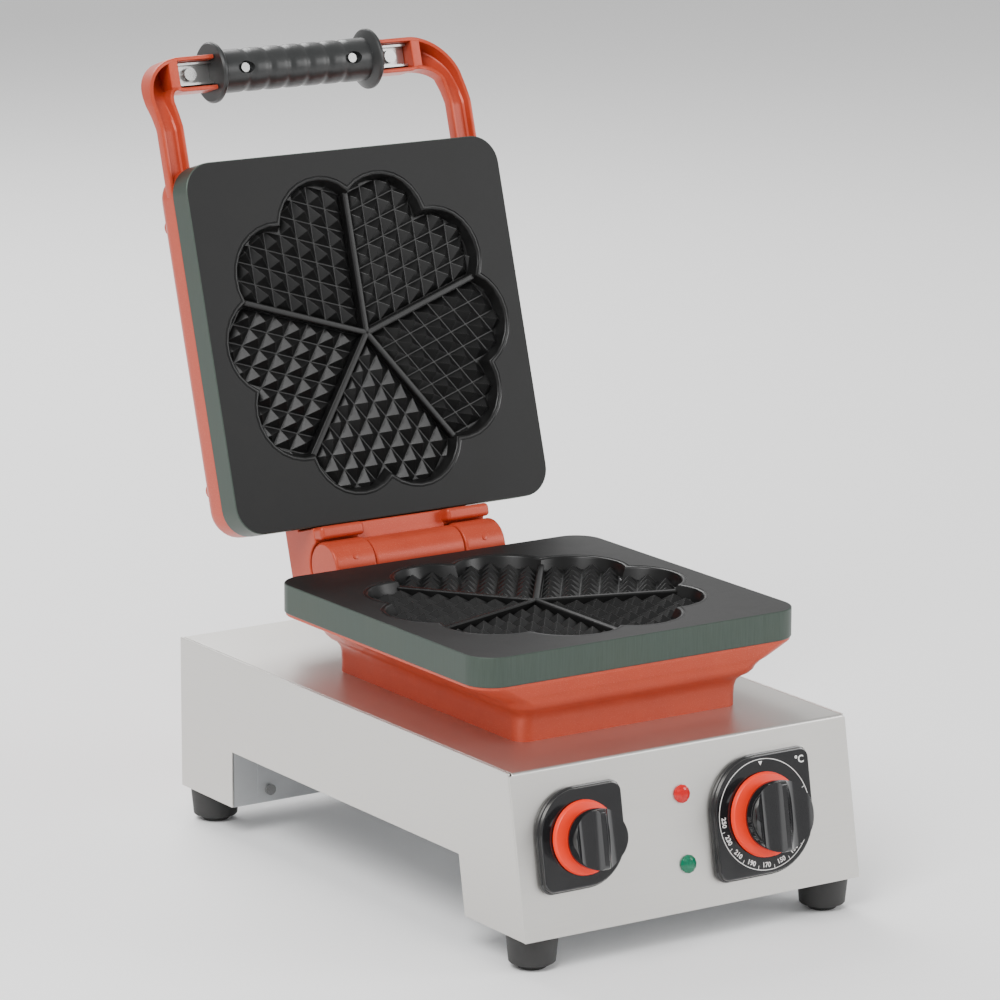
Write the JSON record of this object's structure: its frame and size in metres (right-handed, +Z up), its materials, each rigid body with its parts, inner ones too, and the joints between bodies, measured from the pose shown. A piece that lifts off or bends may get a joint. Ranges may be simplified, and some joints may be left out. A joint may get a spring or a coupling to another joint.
{
  "type": "waffle maker",
  "caption": "Single counter-top waffle baker: folded steel body, round-flower iron that opens on a rear hinge, bar handle, rotary switch and thermostat.",
  "frame": {"origin": "on the table, at the middle of the box around the whole baker with its lid open as at rest", "axes": "+Z up from the table, +X to the user's right, +Y from the control panel to the hinge"},
  "size_m": [0.26, 0.5349, 0.5226],
  "materials": {
    "red_enamel": "satin metallic red-orange enamel on a sand casting",
    "nonstick_iron": "black non-stick baking face, grey-green ground sides",
    "brushed_stainless": "fine brushed stainless sheet",
    "galvanised_sheet": "plain galvanised sheet",
    "black_rubber": "matte moulded rubber",
    "gloss_black": "polished black moulding",
    "orange_ring": "bright orange-red moulding",
    "red_lens": "clear red faceted lens",
    "green_lens": "clear green faceted lens",
    "black_bakelite": "satin black bakelite",
    "mineral_wool": "pale fibre mat",
    "black_moulding": "black moulding",
    "heater_steel": "heat-darkened steel tube",
    "bright_steel": "bright plated steel"
  },
  "bodies": {
    "base": {"bottom_tray": "galvanised_sheet", "cable_gland": "black_moulding", "casting_bolts": "bright_steel", "cover_screws": "bright_steel", "foot_front_left": "black_rubber", "foot_front_right": "black_rubber", "foot_nuts": "bright_steel", "foot_rear_left": "black_rubber", "foot_rear_right": "black_rubber", "foot_screws": "bright_steel", "green_lamp_body": "black_moulding", "green_lamp_lens": "green_lens", "hinge_grub_screws": "bright_steel", "hinge_pin": "bright_steel", "housing_shell": "brushed_stainless", "lower_casting": "red_enamel", "lower_clamp_plate": "galvanised_sheet", "lower_heating_element": "heater_steel", "lower_insulation": "mineral_wool", "lower_iron": "nonstick_iron", "lower_iron_screws": "bright_steel", "rear_leg_cover": "galvanised_sheet", "red_lamp_body": "black_moulding", "red_lamp_lens": "red_lens", "side_panel_left": "brushed_stainless", "side_panel_right": "brushed_stainless", "switch_body": "black_moulding", "switch_plate": "gloss_black", "terminal_block": "black_moulding", "thermostat_body": "black_moulding", "thermostat_bulb": "heater_steel", "thermostat_plate": "gloss_black"},
    "lid": {"upper_casting": "red_enamel", "upper_iron": "nonstick_iron", "upper_iron_screws": "bright_steel", "upper_heating_element": "heater_steel", "upper_clamp_plate": "galvanised_sheet", "upper_insulation": "mineral_wool", "handle_grip": "black_bakelite", "handle_core": "bright_steel", "handle_bolts": "bright_steel", "handle_nuts": "bright_steel", "handle_spacers": "bright_steel", "grip_screws": "bright_steel"},
    "switch_dial": {"switch_knob": "gloss_black", "switch_ring": "orange_ring", "switch_shaft": "bright_steel"},
    "thermostat_dial": {"thermostat_knob": "gloss_black", "thermostat_ring": "orange_ring", "thermostat_shaft": "bright_steel"}
  },
  "joints": [
    {"name": "lid_hinge", "type": "hinge", "parent": "base", "child": "lid", "pos_m": [0, 0.09468, 0.1852], "axis": [1, 0, 0], "range_deg": [0, 106.6]},
    {"name": "switch_turn", "type": "hinge", "parent": "base", "child": "switch_dial", "pos_m": [-0.0836, -0.23258, 0.08134], "axis": [0, -0.984, 0.1781], "range_deg": [-90, 0]},
    {"name": "thermostat_turn", "type": "hinge", "parent": "base", "child": "thermostat_dial", "pos_m": [0.0557, -0.23388, 0.07415], "axis": [0, -0.984, 0.1781], "range_deg": [-270, 0]}
  ]
}
